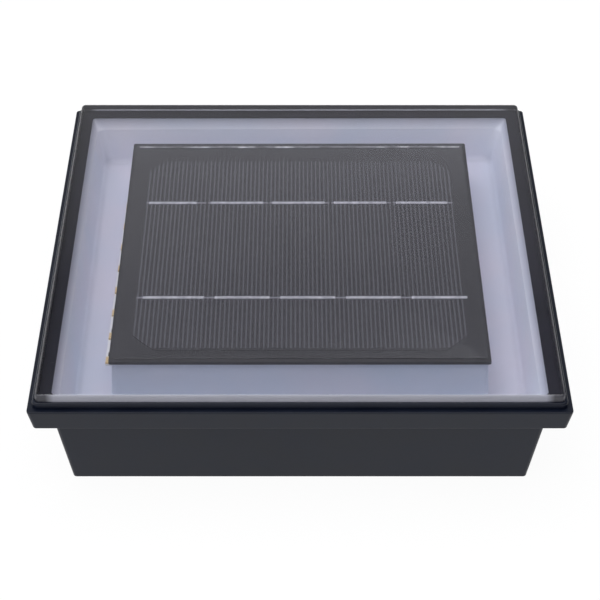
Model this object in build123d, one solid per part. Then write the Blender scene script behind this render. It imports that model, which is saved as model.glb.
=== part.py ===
from build123d import *
import math
import os

# A square solar ground light that sinks into paving up to its rim.
# Millimetres, +Z up, front towards -Y, origin at the centre of the flat base.

# Outer form
RIM = 200.0
HEIGHT = 50.6
LEDGE_Z = 45.2
FLANGE_Z = 35.8
TUB_TOP = 184.4
TUB_BASE = 174.6
SKIRT_BASE = 197.0
SKIRT_WALL = 1.9
TUB_WALL = 1.8
FLOOR = 2.8
CORNER_R = 1.4
POCKET_Z = 38.2
LAND = 0.8
FLARE_Z = 37.0
BASE_EDGE_R = 0.5
WALL_RIB_TOP = 17.0
WALL_RIB_HALF = 0.8
RUNNING_GAP = 0.3

# Lip, lens seat and tray shelf inside the rim
LIP = 196.4
LIP_CORNER_R = 2.4
LIP_Z = 47.7
SEAT_Z = 41.7
SHELF_Z = 40.2
SHELF_MOUTH = 185.0

# Gasket and cover lens
LENS = 194.0
LENS_THICK = 8.0
LENS_CORNER_R = 1.8
LENS_EDGE_R = 1.0
GASKET_INNER = 183.0

# Reflector tray with the pedestal that carries the panel
TRAY_RIM = 187.2
TRAY_MOUTH = 183.4
TRAY_WAIST = 178.2
TRAY_FLOOR_SIZE = 171.0
TRAY_FLOOR_Z = 21.0
TRAY_WALL = 1.2
PEDESTAL = 142.0
PEDESTAL_DRAFT = 0.6
LEAD_HOLE_R = 2.2
PANEL_LEAD_HOLE_R = 3.0
PANEL_LEAD_Y = 30.0
PEDESTAL_Z = 39.7

# Solar panel: a 125 mm cell cut into five strips
PANEL = 144.0
PANEL_FACE_Z = 42.0
FILM_THICK = 0.6
BACKBOARD_THICK = 1.2
FILM_SIZE = 141.4
CELL = 125.0
CELL_COUNT = 5
CELL_Y = -3.0
CELL_GAP = 0.7
CELL_THICK = 0.2
INGOT_R = 82.5
BUS_SPACING = 62.4
RIBBON_WIDTH = 1.4
RIBBON_THICK = 0.12

# Light boards along the left and right sides of the panel
LED_PITCH = 13.9
LED_COUNT = 10
LED_FIRST_Y = -67.8
LED_BOARD_LENGTH = 139.6
LED_BOARD_WIDTH = 7.0
LED_BOARD_THICK = 0.6
LED_BOARD_PEEK = 0.75
LED_BOARD_SKEW = -0.6
LED_WIDTH = 2.8
LED_LENGTH = 3.5
LED_HEIGHT = 0.7
LED_INSET = 1.5
GEL_R = 1.1
GEL_HEIGHT = 0.3
RESISTOR_OFFSET = 3.5
RESISTOR_INSET = 1.2
LEAD_HOLE_X = 66.8
LEAD_HOLE_Y = 65.0
REBATE_WIDTH = 9.5
REBATE_DEPTH = 1.7
REBATE_LENGTH = 140.4

# Battery compartment, opened from below
BATTERY_X = -14.0
BATTERY_Y = -34.0
WELL_LENGTH = 82.0
WELL_WIDTH = 24.0
WELL_Z = 25.0
WELL_WALL = 2.0
DOOR_LENGTH = 100.0
DOOR_WIDTH = 42.0
DOOR_THICK = 2.4
DOOR_SET_BACK = 0.3
DOOR_SCREW_HEAD_R = 2.8
SCREW_SHANK_R = 1.2
SCREW_PILOT_R = 1.25
BATTERY_R = 9.2
BATTERY_LENGTH = 65.0
BATTERY_AXIS_Z = 13.6
SEAL_TOP_Z = 4.0
CONTACT_X = 38.2
LEAD_EXIT_Y = BATTERY_Y + 3.0

# Power button in the base
BUTTON_X = 58.0
BUTTON_Y = -34.0
BUTTON_FACE_Z = 1.0
BUTTON_R = 5.2
BUTTON_FLANGE_R = 6.7
STEM_R = 2.1
BUTTON_WELL_R = 9.0
BUTTON_WELL_Z = 6.6
BUTTON_BOSS_Z = 9.0
STEM_SEAL_R = 3.6

# Control board
BOARD_X = -8.0
BOARD_Y = 28.0
BOARD_LENGTH = 70.0
BOARD_WIDTH = 46.0
BOARD_Z = 9.0
BOARD_THICK = 1.6
LEAD_R = 0.6

PARTS = "parts"
STANDING = (Align.CENTER, Align.CENTER, Align.MIN)


def save(name, *solids):
    """Write one node, which may be a group of separate solids."""
    shape = solids[0] if len(solids) == 1 else Compound(children=list(solids))
    export_step(shape, os.path.join(PARTS, name + ".step"))
    print(name, round(sum(solid.volume for solid in solids)))


def square_plate(side, z, thick, radius):
    """A flat square plate with rounded corners whose underside is at z."""
    return extrude(Pos(0, 0, z) * RectangleRounded(side, side, radius), thick)


def tapered_block(low_side, low_z, high_side, high_z, radius):
    """A square block whose walls lean evenly from one size to another."""
    low = Pos(0, 0, low_z) * RectangleRounded(low_side, low_side, radius)
    high = Pos(0, 0, high_z) * RectangleRounded(high_side, high_side, radius)
    return loft([low, high])


def box_at(x0, x1, y0, y1, z0, z1):
    """A box between two corners."""
    centre = Pos((x0 + x1) / 2, (y0 + y1) / 2, (z0 + z1) / 2)
    return centre * Box(x1 - x0, y1 - y0, z1 - z0)


def rod_at(x, y, z0, z1, radius):
    """An upright cylinder."""
    return Pos(x, y, (z0 + z1) / 2) * Cylinder(radius, z1 - z0)


def tub_side_at(z):
    """Outer width of the drafted tub at a height."""
    return TUB_BASE + (TUB_TOP - TUB_BASE) * z / FLANGE_Z


def corners(dx, dy):
    """The four corners of a rectangle about the origin."""
    return [(sx * dx, sy * dy) for sx in (-1, 1) for sy in (-1, 1)]


def door_screw_points():
    """Places of the battery door's four screws."""
    reach_x = DOOR_LENGTH / 2 - 5.0
    reach_y = DOOR_WIDTH / 2 - 5.0
    return [(BATTERY_X + dx, BATTERY_Y + dy) for dx, dy in corners(reach_x, reach_y)]


def board_screw_points():
    """Places of the control board's four screws."""
    reach_x = BOARD_LENGTH / 2 - 4.0
    reach_y = BOARD_WIDTH / 2 - 4.0
    return [(BOARD_X + dx, BOARD_Y + dy) for dx, dy in corners(reach_x, reach_y)]


def housing_shell():
    """The drafted tub, its flange and the raised lip round the lens."""
    tub = tapered_block(TUB_BASE, 0, tub_side_at(SHELF_Z), SHELF_Z, CORNER_R)
    tub = fillet(tub.faces().sort_by(Axis.Z)[0].edges(), BASE_EDGE_R)
    skirt = tapered_block(SKIRT_BASE, FLANGE_Z, RIM, LEDGE_Z - LAND, CORNER_R)
    skirt = fillet(skirt.faces().sort_by(Axis.Z)[0].edges(), 0.4)
    land = square_plate(RIM, LEDGE_Z - LAND, LAND, CORNER_R)
    land = fillet(land.faces().sort_by(Axis.Z)[-1].edges(), 0.3)
    lip = square_plate(LIP, LEDGE_Z - 1, LIP_Z - LEDGE_Z + 1, LIP_CORNER_R)
    lip = fillet(lip.faces().sort_by(Axis.Z)[-1].edges(), 0.8)
    tray_room = square_plate(TRAY_RIM + RUNNING_GAP, SHELF_Z, 10, LIP_CORNER_R)
    lens_room = square_plate(LENS + RUNNING_GAP, SEAT_Z, 10, LENS_CORNER_R)
    return tub + skirt + land + lip - tub_hollow() - tray_room - lens_room


def tub_hollow():
    """The room inside the tub, which flares out just below the tray's shelf."""
    floor_side = TUB_BASE - 2 * TUB_WALL
    waist_side = tub_side_at(FLARE_Z) - 2 * TUB_WALL
    room = tapered_block(floor_side, FLOOR, waist_side, FLARE_Z, 1.0)
    return room + tapered_block(waist_side, FLARE_Z, SHELF_MOUTH, SHELF_Z, 1.0)


def flange_pockets():
    """The hollows under the flange, between webs that stiffen it."""
    low = SKIRT_BASE - 2 * SKIRT_WALL
    draft = (RIM - SKIRT_BASE) / (LEDGE_Z - FLANGE_Z)
    high = low + draft * (POCKET_Z - FLANGE_Z)
    ring = tapered_block(low, FLANGE_Z, high, POCKET_Z, 2)
    ring -= tapered_block(tub_side_at(FLANGE_Z), FLANGE_Z, tub_side_at(POCKET_Z), POCKET_Z, CORNER_R)
    web = box_at(TUB_TOP / 2 - 1, RIM / 2, -0.8, 0.8, FLANGE_Z, POCKET_Z)
    row = [Pos(0, y, 0) * web for y in (-84, -56, -28, 0, 28, 56, 84)]
    webs = [Rot(0, 0, turn) * piece for turn in (0, 90, 180, 270) for piece in row]
    return ring.cut(*webs)


def housing_ribs():
    """Upright ribs that stiffen the tub's walls, with their backs in the leaning wall."""
    wall = TUB_BASE / 2 - TUB_WALL
    lean = (TUB_TOP - TUB_BASE) / 2 / FLANGE_Z
    root = 0.5
    low = FLOOR - 0.4
    profile = Plane.XZ * Polygon(
        (wall - 5, low),
        (wall + root + lean * low, low),
        (wall + root + lean * WALL_RIB_TOP, WALL_RIB_TOP),
        (wall - 1 + lean * WALL_RIB_TOP, WALL_RIB_TOP),
        align=None,
    )
    rib = extrude(profile, WALL_RIB_HALF, both=True)
    row = [Pos(0, y, 0) * rib for y in (-60, -30, 0, 30, 60)]
    return [Rot(0, 0, turn) * piece for turn in (0, 90, 180, 270) for piece in row]


def battery_well():
    """The closed box over the battery, moulded up from the floor."""
    outside = RectangleRounded(WELL_LENGTH + 2 * WELL_WALL, WELL_WIDTH + 2 * WELL_WALL, 3)
    block = extrude(outside, WELL_Z + WELL_WALL)
    block = fillet(block.faces().sort_by(Axis.Z)[-1].edges(), 1.2)
    pad = extrude(RectangleRounded(DOOR_LENGTH + 5, DOOR_WIDTH + 5, 4), 5.6)
    return Pos(BATTERY_X, BATTERY_Y, 0) * (block + pad)


def battery_well_space():
    """The room inside the well, the step for the door and the seal's groove."""
    room = extrude(RectangleRounded(WELL_LENGTH, WELL_WIDTH, 1.5), WELL_Z)
    step = extrude(RectangleRounded(DOOR_LENGTH + 0.6, DOOR_WIDTH + 0.6, 3.3), DOOR_THICK + DOOR_SET_BACK)
    groove = extrude(RectangleRounded(WELL_LENGTH + 5.6, WELL_WIDTH + 5.6, 3), SEAL_TOP_Z)
    groove -= extrude(RectangleRounded(WELL_LENGTH + 2.0, WELL_WIDTH + 2.0, 2), SEAL_TOP_Z)
    return Pos(BATTERY_X, BATTERY_Y, 0) * (room + step + groove)


def lead_holes():
    """Holes over the two contacts, for the battery leads."""
    return [rod_at(BATTERY_X + side * CONTACT_X, LEAD_EXIT_Y, 19.0, 30.0, 1.6) for side in (-1, 1)]


def make_housing():
    """One black moulding: tub, flange, battery well, posts and button boss."""
    body = housing_shell() - flange_pockets()
    posts = [rod_at(x, y, FLOOR - 0.5, BOARD_Z, 3.2) for x, y in board_screw_points()]
    boss = rod_at(BUTTON_X, BUTTON_Y, 0.5, BUTTON_BOSS_Z, BUTTON_WELL_R + 2)
    body = body.fuse(*housing_ribs(), battery_well(), *posts, boss)
    cuts = [battery_well_space(), *lead_holes()]
    cuts += [rod_at(x, y, FLOOR, BOARD_Z, SCREW_PILOT_R) for x, y in board_screw_points()]
    cuts += [rod_at(x, y, 0, 5.0, SCREW_PILOT_R) for x, y in door_screw_points()]
    cuts.append(rod_at(BUTTON_X, BUTTON_Y, -1, BUTTON_WELL_Z, BUTTON_WELL_R))
    cuts.append(rod_at(BUTTON_X, BUTTON_Y, 0, 10, STEM_R + 0.08))
    cuts.append(rod_at(BUTTON_X, BUTTON_Y, BUTTON_BOSS_Z - 1.4, 10, STEM_SEAL_R))
    return body.cut(*cuts)


def make_gasket():
    """The black seal under the lens, over the seat and the tray's rim."""
    ring = square_plate(LENS, SEAT_Z, HEIGHT - LENS_THICK - SEAT_Z, LENS_CORNER_R)
    return ring - square_plate(GASKET_INNER, SEAT_Z - 1, 5, 1.5)


def make_lens():
    """The thick clear plate with a rolled top edge."""
    lens = square_plate(LENS, HEIGHT - LENS_THICK, LENS_THICK, LENS_CORNER_R)
    return fillet(lens.faces().sort_by(Axis.Z)[-1].edges(), LENS_EDGE_R)


def flared_block(low_side, low_z, waist_side, high_side):
    """A block that widens evenly up to the flare and faster from there to the seat."""
    low = Pos(0, 0, low_z) * RectangleRounded(low_side, low_side, 5)
    waist = Pos(0, 0, FLARE_Z) * RectangleRounded(waist_side, waist_side, 3)
    high = Pos(0, 0, SEAT_Z) * RectangleRounded(high_side, high_side, 1.8)
    return loft([low, waist]) + loft([waist, high])


def make_tray():
    """The white reflector: rim, moat and hollow central pedestal."""
    wall = 2 * TRAY_WALL
    rim = square_plate(TRAY_RIM, SHELF_Z, SEAT_Z - SHELF_Z, 2.2)
    shell = flared_block(
        TRAY_FLOOR_SIZE + wall, TRAY_FLOOR_Z - TRAY_WALL, TRAY_WAIST + wall, TRAY_MOUTH + wall
    )
    shell = fillet(shell.faces().sort_by(Axis.Z)[0].edges(), 4.0)
    moat = flared_block(TRAY_FLOOR_SIZE, TRAY_FLOOR_Z, TRAY_WAIST, TRAY_MOUTH)
    moat = fillet(moat.faces().sort_by(Axis.Z)[0].edges(), 3.0)
    moat -= tapered_block(PEDESTAL + PEDESTAL_DRAFT, TRAY_FLOOR_Z - 1, PEDESTAL, SEAT_Z, 2)
    under = tapered_block(
        PEDESTAL + PEDESTAL_DRAFT - wall, 10, PEDESTAL - wall, PEDESTAL_Z - TRAY_WALL - REBATE_DEPTH, 1.5
    )
    above = square_plate(PEDESTAL + 2, PEDESTAL_Z, 5, 1)
    outer = PEDESTAL / 2
    inner = outer - REBATE_WIDTH
    end = REBATE_LENGTH / 2
    rebate = box_at(inner, outer + 1, -end, end, PEDESTAL_Z - REBATE_DEPTH, PEDESTAL_Z)
    hole = rod_at(LEAD_HOLE_X, LEAD_HOLE_Y, 30, 45, LEAD_HOLE_R)
    mirrored = [mirror(piece, Plane.YZ) for piece in (rebate, hole)]
    tray = (rim + shell).cut(moat, under, above)
    panel_hole = rod_at(0, PANEL_LEAD_Y, 30, 45, PANEL_LEAD_HOLE_R)
    return tray.cut(rebate, hole, *mirrored, panel_hole)


def make_backboard():
    """The circuit board that the cells are laid on."""
    z = PANEL_FACE_Z - FILM_THICK - BACKBOARD_THICK
    return square_plate(PANEL, z, BACKBOARD_THICK, 0.8)


def cell_outline():
    """The whole wafer: a square with its corners cut by the round ingot."""
    return Pos(0, CELL_Y) * (Rectangle(CELL, CELL) & Circle(INGOT_R))


def make_cells():
    """Five strips of the wafer, set a little apart."""
    z = PANEL_FACE_Z - FILM_THICK
    width = CELL / CELL_COUNT
    wafer = extrude(Pos(0, 0, z) * cell_outline(), CELL_THICK)
    strips = []
    for index in range(CELL_COUNT):
        x0 = -CELL / 2 + index * width
        strip = wafer & box_at(x0, x0 + width, -CELL, CELL, z - 1, z + 2)
        step = (index - (CELL_COUNT - 1) / 2) * CELL_GAP
        strips.append(Pos(step, 0, 0) * strip)
    return strips


def make_ribbons(y, shift, reaches):
    """The bright ribbon segments of one bus line, given how far each reaches to its two ends."""
    z = PANEL_FACE_Z - FILM_THICK + CELL_THICK
    pitch = CELL / CELL_COUNT + CELL_GAP
    ribbons = []
    for index, (left, right) in enumerate(reaches):
        x = (index - (CELL_COUNT - 1) / 2) * pitch + shift
        sides = (x - left, x + right, y - RIBBON_WIDTH / 2, y + RIBBON_WIDTH / 2)
        ribbons.append(box_at(*sides, z, z + RIBBON_THICK))
    return ribbons


def make_film(cells, ribbons):
    """The clear layer that seals the cells to the board."""
    film = square_plate(FILM_SIZE, PANEL_FACE_Z - FILM_THICK, FILM_THICK, 1.0)
    film = fillet(film.faces().sort_by(Axis.Z)[-1].edges(), 0.2)
    return film.cut(*cells, *ribbons)


def led_side(side):
    """Place of one light board: the left one peeks out and sits off square."""
    edge = PANEL / 2 + (LED_BOARD_PEEK if side < 0 else -0.6)
    x = side * (edge - LED_BOARD_WIDTH / 2)
    turn = LED_BOARD_SKEW if side < 0 else 0
    return Pos(x, 0, PEDESTAL_Z - REBATE_DEPTH) * Rot(0, 0, turn)


def make_led_board(side):
    """A narrow white board with a rounded end."""
    board = extrude(RectangleRounded(LED_BOARD_WIDTH, LED_BOARD_LENGTH, 0.5), LED_BOARD_THICK)
    return led_side(side) * board


def make_leds(side):
    """Surface-mounted lamps with a shallow round gel window."""
    leds = []
    x = side * (LED_BOARD_WIDTH / 2 - LED_INSET)
    for index in range(LED_COUNT):
        y = LED_FIRST_Y + index * LED_PITCH
        body = Box(LED_WIDTH, LED_LENGTH, LED_HEIGHT, align=STANDING)
        body = chamfer(body.faces().sort_by(Axis.Z)[-1].edges(), 0.15)
        gel = Pos(0, 0, LED_HEIGHT - 0.1) * Cylinder(GEL_R, GEL_HEIGHT, align=STANDING)
        leds.append(led_side(side) * Pos(x, y, LED_BOARD_THICK) * (body + gel))
    return leds


def make_resistors(side):
    """One small resistor between neighbouring lamps."""
    chips = []
    x = side * (LED_BOARD_WIDTH / 2 - RESISTOR_INSET)
    for index in range(LED_COUNT - 1):
        y = LED_FIRST_Y + index * LED_PITCH + RESISTOR_OFFSET
        chip = Box(0.8, 1.6, 0.5, align=STANDING)
        chips.append(led_side(side) * Pos(x, y, LED_BOARD_THICK) * chip)
    return chips


def make_panel_tape():
    """Two strips of foam tape between the pedestal and the panel."""
    z = PEDESTAL_Z
    thick = PANEL_FACE_Z - FILM_THICK - BACKBOARD_THICK - z
    return [box_at(-50, 50, y - 10, y + 10, z, z + thick) for y in (-50, 50)]


def make_door():
    """The battery door with its four countersunk screw seats and a spigot."""
    plate = extrude(RectangleRounded(DOOR_LENGTH, DOOR_WIDTH, 3), DOOR_THICK)
    plate = chamfer(plate.faces().sort_by(Axis.Z)[0].edges(), 0.5)
    spigot = extrude(Pos(0, 0, DOOR_THICK) * RectangleRounded(WELL_LENGTH - 0.8, WELL_WIDTH - 0.8, 1.2), 1.6)
    spigot -= extrude(Pos(0, 0, DOOR_THICK) * RectangleRounded(WELL_LENGTH - 4, WELL_WIDTH - 4, 1), 1.6)
    door = Pos(BATTERY_X, BATTERY_Y, DOOR_SET_BACK) * (plate + spigot)
    for x, y in door_screw_points():
        door -= rod_at(x, y, 0, 5, 1.7)
        door -= rod_at(x, y, 0, 1.6, 3.1)
    return door


def make_door_seal():
    """The square-section rubber seal in the groove round the well."""
    z = DOOR_THICK + DOOR_SET_BACK
    outer = RectangleRounded(WELL_LENGTH + 5.2, WELL_WIDTH + 5.2, 2.8)
    inner = RectangleRounded(WELL_LENGTH + 2.4, WELL_WIDTH + 2.4, 2.2)
    return Pos(BATTERY_X, BATTERY_Y, 0) * extrude(Pos(0, 0, z) * (outer - inner), 4.0 - z)


def pan_screw(head_r, head_h, shank_r, shank_l):
    """A cross-head screw standing on its head, shank up."""
    head = Cylinder(head_r, head_h, align=STANDING)
    head = fillet(head.faces().sort_by(Axis.Z)[0].edges(), head_h * 0.45)
    shank = Cylinder(shank_r, head_h + shank_l, align=STANDING)
    arm = Box(head_r * 1.1, 0.6, head_h * 1.2)
    return head + shank - arm - Rot(0, 0, 90) * arm


def make_door_screws():
    """Four screws that hold the battery door."""
    screw = pan_screw(DOOR_SCREW_HEAD_R, 1.3, SCREW_SHANK_R, 3.2)
    return [Pos(x, y, DOOR_SET_BACK) * screw for x, y in door_screw_points()]


def make_board_screws():
    """Four screws that hold the control board, heads up."""
    screw = Rot(180, 0, 0) * pan_screw(2.6, 1.4, SCREW_SHANK_R, 5.0)
    z = BOARD_Z + BOARD_THICK + 1.4
    return [Pos(x, y, z) * screw for x, y in board_screw_points()]


def make_battery():
    """A lithium cell with its insulating ring step and raised button."""
    body = Cylinder(BATTERY_R, BATTERY_LENGTH)
    body = fillet(body.edges(), 0.6)
    ring = Cylinder(BATTERY_R + 1, 0.8) - Cylinder(BATTERY_R - 0.4, 0.8)
    groove = Pos(0, 0, BATTERY_LENGTH / 2 - 2.6) * ring
    tip = Pos(0, 0, BATTERY_LENGTH / 2 + 0.5) * Cylinder(2.7, 1.4)
    cell = body - groove + tip
    return Pos(BATTERY_X, BATTERY_Y, BATTERY_AXIS_Z) * Rot(0, 90, 0) * cell


def make_battery_cradle():
    """The open plastic cradle that the cell snaps up into."""
    length = WELL_LENGTH - 1.0
    block = box_at(-length / 2, length / 2, -11.4, 11.4, 8.0, WELL_Z)
    cell_room = Pos(0, 0, BATTERY_AXIS_Z) * Rot(0, 90, 0) * Cylinder(BATTERY_R + 0.25, BATTERY_LENGTH + 5)
    below = box_at(-35, 35, -BATTERY_R - 0.1, BATTERY_R + 0.1, 0, BATTERY_AXIS_Z - 4)
    pocket = box_at(34.5, 39.5, -7, 7, 0, 23)
    cradle = block.cut(cell_room, below, pocket, mirror(pocket, Plane.YZ))
    cradle = Pos(BATTERY_X, BATTERY_Y, 0) * cradle
    return cradle.cut(*lead_holes())


def make_contact(side, touch_x):
    """A stamped leaf that bows in towards one end of the cell."""
    touch = touch_x + 0.25
    path = Polyline(
        (CONTACT_X, 22.0),
        (CONTACT_X, 18.5),
        (touch, BATTERY_AXIS_Z + 1.2),
        (touch, BATTERY_AXIS_Z - 1.2),
        (CONTACT_X, 8.6),
    )
    leaf = extrude(Plane.XZ * trace(path, 0.4), 3.5, both=True)
    leaf = leaf if side > 0 else mirror(leaf, Plane.YZ)
    return Pos(BATTERY_X, BATTERY_Y, 0) * leaf


def make_control_board():
    """The charge and lamp control board."""
    outline = RectangleRounded(BOARD_LENGTH, BOARD_WIDTH, 1.5)
    board = Pos(BOARD_X, BOARD_Y, BOARD_Z) * extrude(outline, BOARD_THICK)
    return board.cut(*[rod_at(x, y, BOARD_Z - 1, BOARD_Z + 3, 1.6) for x, y in board_screw_points()])


def board_top(x, y, part):
    """Set a component on the control board."""
    return Pos(BOARD_X + x, BOARD_Y + y, BOARD_Z + BOARD_THICK) * part


def make_chip():
    """The controller in a flat eight-legged package."""
    body = Pos(0, 0, 0.9) * Box(4.9, 3.9, 1.4)
    body = chamfer(body.faces().sort_by(Axis.Z)[-1].edges(), 0.25)
    leg = Pos(0, 0, 0.3) * Box(0.42, 6.2, 0.6)
    legs = [Pos((index - 1.5) * 1.27, 0, 0) * leg for index in range(4)]
    return board_top(4, 4, body.fuse(*legs))


def make_inductor():
    """The wound choke on its square foot."""
    foot = Box(8, 8, 1.0, align=STANDING)
    core = Pos(0, 0, 1.0) * Cylinder(3.7, 3.6, align=STANDING)
    core -= Pos(0, 0, 2.8) * (Cylinder(5, 1.8) - Cylinder(3.2, 1.8))
    return board_top(-12, 6, foot + core)


def make_capacitors():
    """Two upright electrolytic cans with a rolled bead."""
    can = Cylinder(3.1, 8.0, align=STANDING)
    can = fillet(can.edges(), 0.4)
    can -= Pos(0, 0, 1.6) * (Cylinder(4, 0.6) - Cylinder(2.8, 0.6))
    return [board_top(x, -10, can) for x in (-6, 4)]


def connector_points():
    """Places of the five two-pole sockets on the control board."""
    return [(-22, 16), (-8, 16), (8, 16), (22, 4), (22, -12)]


def make_sockets():
    """Upright two-pole wire sockets."""
    sockets = []
    for x, y in connector_points():
        shell = Box(7.4, 5.6, 6.0, align=STANDING)
        shell -= Pos(0, 0, 1.2) * Box(5.8, 4.0, 6.0, align=STANDING)
        sockets.append(board_top(x, y, shell))
    return sockets


def make_plugs():
    """The wire housings that push into the sockets."""
    plugs = []
    for x, y in connector_points():
        plug = Pos(0, 0, 1.4) * Box(5.5, 3.7, 6.0, align=STANDING)
        plugs.append(board_top(x, y, plug))
    return plugs


def make_switch():
    """The latching switch over the button, with two solder tags."""
    z = BUTTON_BOSS_Z
    body = box_at(-6.2, 6.2, -6.2, 6.2, z, z + 6.4)
    body = fillet(body.edges().filter_by(Axis.Z), 0.8)
    body -= rod_at(0, 0, z - 1, z + 3.9, 2.4)
    tags = [box_at(x - 0.9, x + 0.9, -0.25, 0.25, z + 6.0, z + 9.0) for x in (-3.6, 3.6)]
    return Pos(BUTTON_X, BUTTON_Y, 0) * body.fuse(*tags)


def make_collar():
    """The ring that keeps the button in its well."""
    outer = BUTTON_WELL_R - 0.05
    collar = rod_at(0, 0, 1.6, BUTTON_WELL_Z, outer)
    collar -= rod_at(0, 0, 3.2, 10, BUTTON_FLANGE_R + 0.3)
    collar -= rod_at(0, 0, 0, 10, BUTTON_R + 0.3)
    collar = chamfer(collar.edges().filter_by(GeomType.CIRCLE).group_by(Axis.Z)[0], 0.3)
    return Pos(BUTTON_X, BUTTON_Y, 0) * collar


def make_stem_seal():
    """The rubber ring round the button's stem."""
    z = BUTTON_BOSS_Z - 1.4
    ring = rod_at(0, 0, z, BUTTON_BOSS_Z, STEM_SEAL_R) - rod_at(0, 0, z - 1, 10, STEM_R + 0.05)
    return Pos(BUTTON_X, BUTTON_Y, 0) * ring


def make_button():
    """The round power button: face, retaining flange and stem."""
    face = rod_at(0, 0, BUTTON_FACE_Z, 3.4, BUTTON_R)
    face = fillet(face.faces().sort_by(Axis.Z)[0].edges(), 0.8)
    flange = rod_at(0, 0, 3.4, 4.6, BUTTON_FLANGE_R)
    stem = rod_at(0, 0, 4.6, 10.6, STEM_R)
    stem = chamfer(stem.faces().sort_by(Axis.Z)[-1].edges(), 0.4)
    return Pos(BUTTON_X, BUTTON_Y, 0) * (face + flange + stem)


def wire(points, radius):
    """A round wire along straight runs joined by arcs as large as they fit."""
    radii = []
    for before, corner, after in zip(points, points[1:], points[2:]):
        a = Vector(*before) - Vector(*corner)
        b = Vector(*after) - Vector(*corner)
        half_turn = math.radians(180 - a.get_angle(b)) / 2
        radii.append(0.45 * min(a.length, b.length) / math.tan(half_turn))
    path = FilletPolyline(*points, radius=radii)
    start = Plane(origin=path @ 0, z_dir=path % 0)
    return sweep(start * Circle(radius), path)


def wire_pair(points, shift):
    """Two wires side by side along one route."""
    dx, dy = shift
    near = [(x - dx, y - dy, z) for x, y, z in points]
    far = [(x + dx, y + dy, z) for x, y, z in points]
    return [wire(near, LEAD_R), wire(far, LEAD_R)]


def plug_top(index):
    """Where the wires enter one plug."""
    x, y = connector_points()[index]
    return BOARD_X + x, BOARD_Y + y, BOARD_Z + BOARD_THICK + 7.4


def make_panel_leads():
    """The pair from the panel's backboard down to the control board."""
    x, y, z = plug_top(0)
    under = PANEL_FACE_Z - FILM_THICK - BACKBOARD_THICK
    start = [(0, PANEL_LEAD_Y, under), (0, PANEL_LEAD_Y, 31), (-14, 36, 27)]
    return wire_pair(start + [(x, y, 27), (x, y, z)], (1, 0))


def make_led_leads(side):
    """The pair from one light board down to the control board."""
    x, y, z = plug_top(1 if side < 0 else 2)
    top = PEDESTAL_Z - REBATE_DEPTH
    hole_x = side * LEAD_HOLE_X
    middle = (hole_x + x) / 2
    points = [
        (hole_x, LEAD_HOLE_Y, top),
        (hole_x, LEAD_HOLE_Y, 29),
        (middle + side * 14, 58, 25),
        (middle - side * 4, 50, 24),
        (x, y, 26),
        (x, y, z),
    ]
    return wire_pair(points, (0, 1))


def make_battery_leads():
    """One wire from each contact up out of the well and across to the board."""
    x, y, z = plug_top(4)
    right = BATTERY_X + CONTACT_X
    left = BATTERY_X - CONTACT_X
    positive = [
        (right, LEAD_EXIT_Y, 22), (right, LEAD_EXIT_Y, 31), (right - 2, -14, 32), (x + 3, 4, 29),
        (x + 1, y, 27), (x + 1, y, z),
    ]
    negative = [
        (left, LEAD_EXIT_Y, 22), (left, LEAD_EXIT_Y, 31), (left + 16, -20, 33), (-18, -6, 31), (0, 6, 29),
        (x - 1, y, 27), (x - 1, y, z),
    ]
    return [wire(positive, LEAD_R), wire(negative, LEAD_R)]


def make_switch_leads():
    """The pair from the switch's tags to the control board."""
    x, y, z = plug_top(3)
    tag_z = BUTTON_BOSS_Z + 9.0
    near = [
        (BUTTON_X - 3.6, BUTTON_Y, tag_z), (BUTTON_X - 3.6, BUTTON_Y, 26), (44, -10, 28), (32, 14, 28),
        (x + 1, y, 26), (x + 1, y, z),
    ]
    far = [
        (BUTTON_X + 3.6, BUTTON_Y, tag_z), (BUTTON_X + 3.6, BUTTON_Y, 28), (48, -4, 31), (34, 20, 32),
        (x - 1, y, 29), (x - 1, y, z),
    ]
    return [wire(near, LEAD_R), wire(far, LEAD_R)]


def main():
    """Build every piece and write it."""
    os.makedirs(PARTS, exist_ok=True)
    save("housing_tub", make_housing())
    save("lens_gasket", make_gasket())
    save("cover_lens", make_lens())
    save("reflector_tray", make_tray())
    save("panel_backboard", make_backboard())
    cells = make_cells()
    for index, cell in enumerate(cells):
        save("solar_cell_" + str(index + 1), cell)
    front_reach = [(13.1, 10.7)] + [(10.7, 10.7)] * 3 + [(10.7, 11.0)]
    back_reach = [(10.8, 8.9)] + [(10.9, 10.9)] * 3 + [(10.7, 10.7)]
    front_ribbons = make_ribbons(CELL_Y - BUS_SPACING / 2, 3.1, front_reach)
    back_ribbons = make_ribbons(CELL_Y + BUS_SPACING / 2, -0.5, back_reach)
    save("bus_ribbons_front", *front_ribbons)
    save("bus_ribbons_back", *back_ribbons)
    save("panel_film", make_film(cells, front_ribbons + back_ribbons))
    save("panel_tape", *make_panel_tape())
    for side, word in ((-1, "left"), (1, "right")):
        save("led_board_" + word, make_led_board(side))
        save("leds_" + word, *make_leds(side))
        save("led_resistors_" + word, *make_resistors(side))
    save("battery_door", make_door())
    save("battery_door_seal", make_door_seal())
    save("battery_door_screws", *make_door_screws())
    save("battery_cell", make_battery())
    save("battery_cradle", make_battery_cradle())
    save("battery_contact_positive", make_contact(1, BATTERY_LENGTH / 2 + 1.2))
    save("battery_contact_negative", make_contact(-1, BATTERY_LENGTH / 2))
    save("control_board", make_control_board())
    save("board_screws", *make_board_screws())
    save("controller_chip", make_chip())
    save("power_inductor", make_inductor())
    save("capacitors", *make_capacitors())
    save("wire_sockets", *make_sockets())
    save("wire_plugs", *make_plugs())
    save("switch_body", make_switch())
    save("button_collar", make_collar())
    save("power_button", make_button())
    save("stem_seal", make_stem_seal())
    save("panel_leads", *make_panel_leads())
    save("led_leads_left", *make_led_leads(-1))
    save("led_leads_right", *make_led_leads(1))
    save("battery_leads", *make_battery_leads())
    save("switch_leads", *make_switch_leads())


main()
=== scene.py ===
import math

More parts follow.
